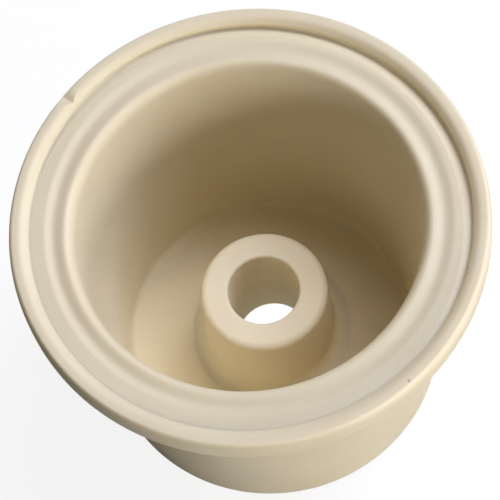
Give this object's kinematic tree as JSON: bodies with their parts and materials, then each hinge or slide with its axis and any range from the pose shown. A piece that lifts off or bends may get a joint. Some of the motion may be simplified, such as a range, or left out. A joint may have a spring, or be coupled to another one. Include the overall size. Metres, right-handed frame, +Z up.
{
  "type": "filter funnel body",
  "caption": "Round flanged funnel body: an inner bowl nested in a tapered shell, with a raised lip and a central hub bored right through.",
  "frame": {"origin": "on the table at the middle of the foot ring", "axes": "+Z up along the bore, from the foot to the rim; the locating notch in the lip stands at 132 degrees from +X towards +Y"},
  "size_m": [0.125, 0.125, 0.084],
  "materials": {
    "shell": "natural ivory moulding, soft satin",
    "bowl": "natural ivory moulding, soft satin",
    "hub": "natural ivory moulding, soft satin",
    "sleeve": "natural ivory moulding, turned flange",
    "washer": "pale slippery plastic sheet",
    "seal": "tan soft rubber"
  },
  "bodies": {
    "shell": {"outer_shell": "shell", "rim_seal": "seal", "floor_seal": "seal"},
    "bowl": {"inner_bowl": "bowl"},
    "hub": {"stem_hub": "hub", "hub_seal": "seal"},
    "washer": {"thrust_washer": "washer"},
    "sleeve": {"clamp_sleeve": "sleeve"}
  },
  "joints": [
    {"name": "bowl_lift", "type": "slide", "parent": "shell", "child": "bowl", "axis": [0, 0, 1], "range_m": [0, 0.09]},
    {"name": "hub_lift", "type": "slide", "parent": "bowl", "child": "hub", "axis": [0, 0, 1], "range_m": [0, 0.09]},
    {"name": "sleeve_drop", "type": "slide", "parent": "shell", "child": "washer", "axis": [0, 0, -1], "range_m": [0, 0.0181]},
    {"name": "sleeve_turn", "type": "hinge", "parent": "washer", "child": "sleeve", "pos_m": [0, 0, 0], "axis": [0, 0, -1], "range_deg": [0, 2160]}
  ],
  "couplings": [
    {"joint": "sleeve_drop", "follows": "sleeve_turn", "m_per_rad": 0.00047746}
  ]
}
